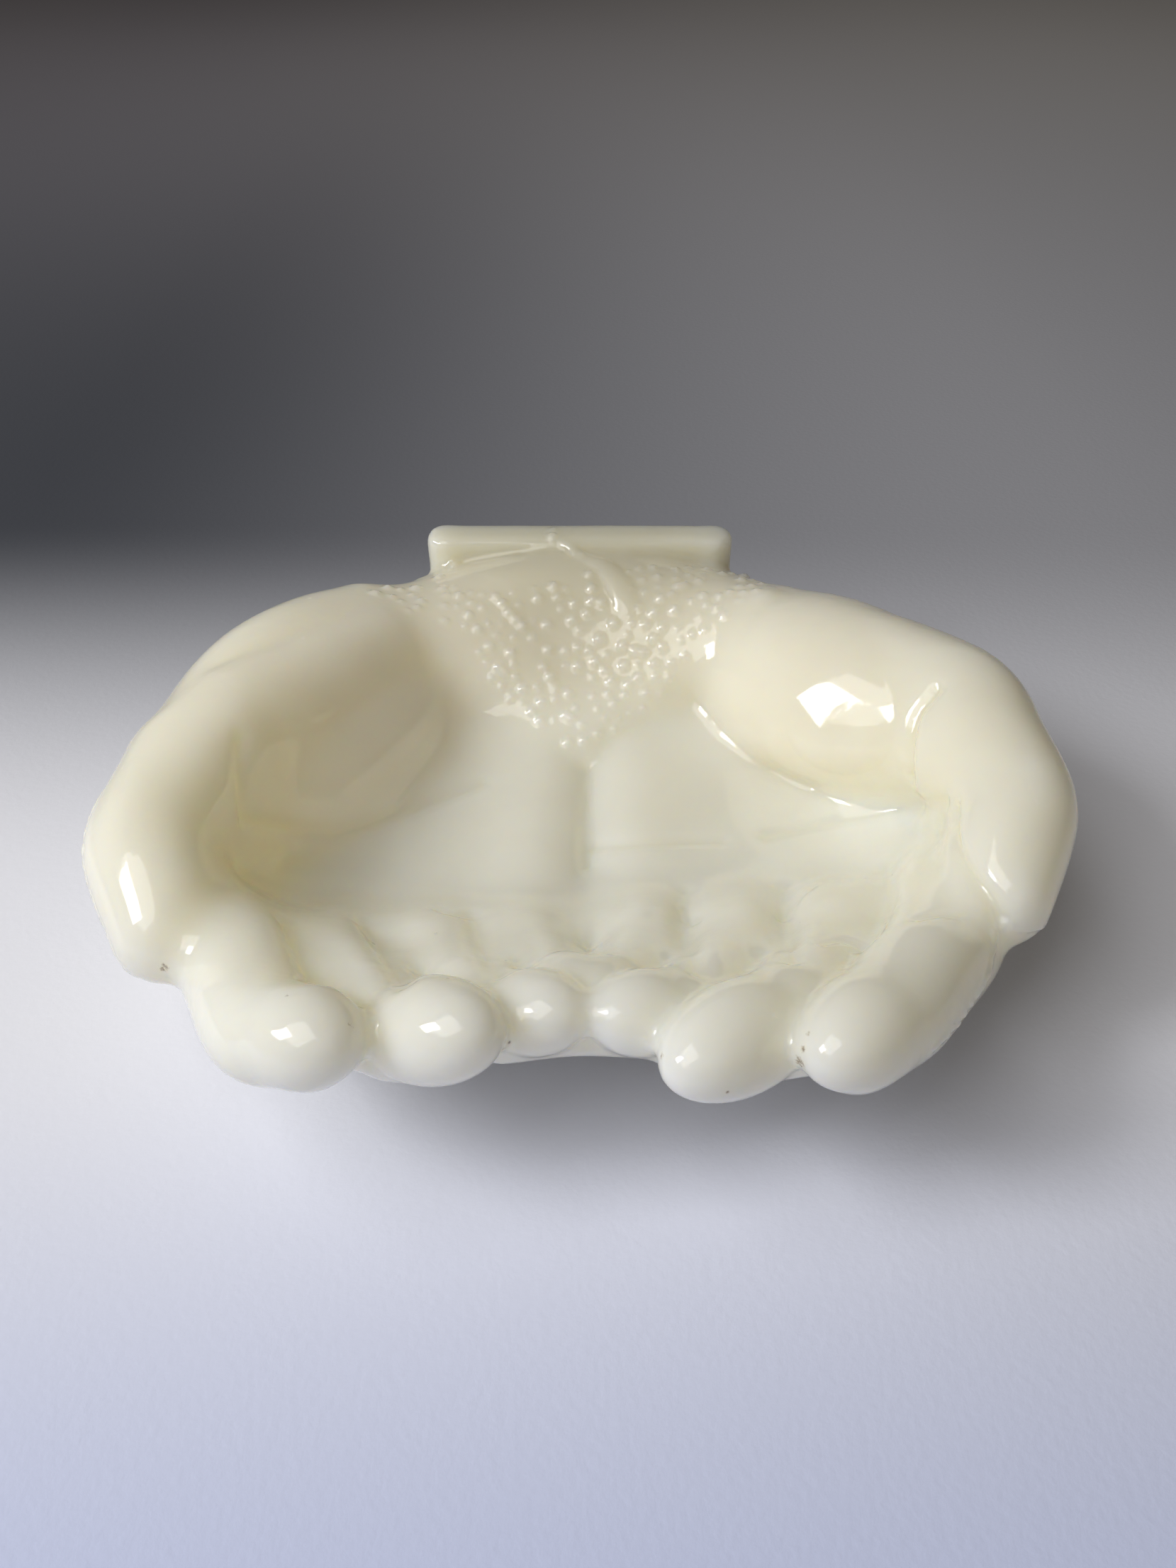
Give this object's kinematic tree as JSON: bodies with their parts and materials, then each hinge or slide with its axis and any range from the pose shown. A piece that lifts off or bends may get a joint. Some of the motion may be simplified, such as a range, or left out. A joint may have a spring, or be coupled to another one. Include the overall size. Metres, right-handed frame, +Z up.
{
  "type": "cupped hands trinket dish",
  "caption": "Glossy opal milk-glass dish shaped as a pair of cupped hands, palms up, with a beaded lace front and a straight cuff band at the wrists.",
  "frame": {"origin": "on the table, under the middle of the dish's bounding box", "axes": "+Z up, fingertips towards -Y, cuff towards +Y, +X to the viewer's right when looking from the fingertips"},
  "size_m": [0.1172, 0.1056, 0.0332],
  "materials": {
    "opal_glass": "glossy, faintly translucent cream-white opal glass"
  },
  "bodies": {
    "root": {"cupped_hands": "opal_glass"}
  },
  "joints": []
}
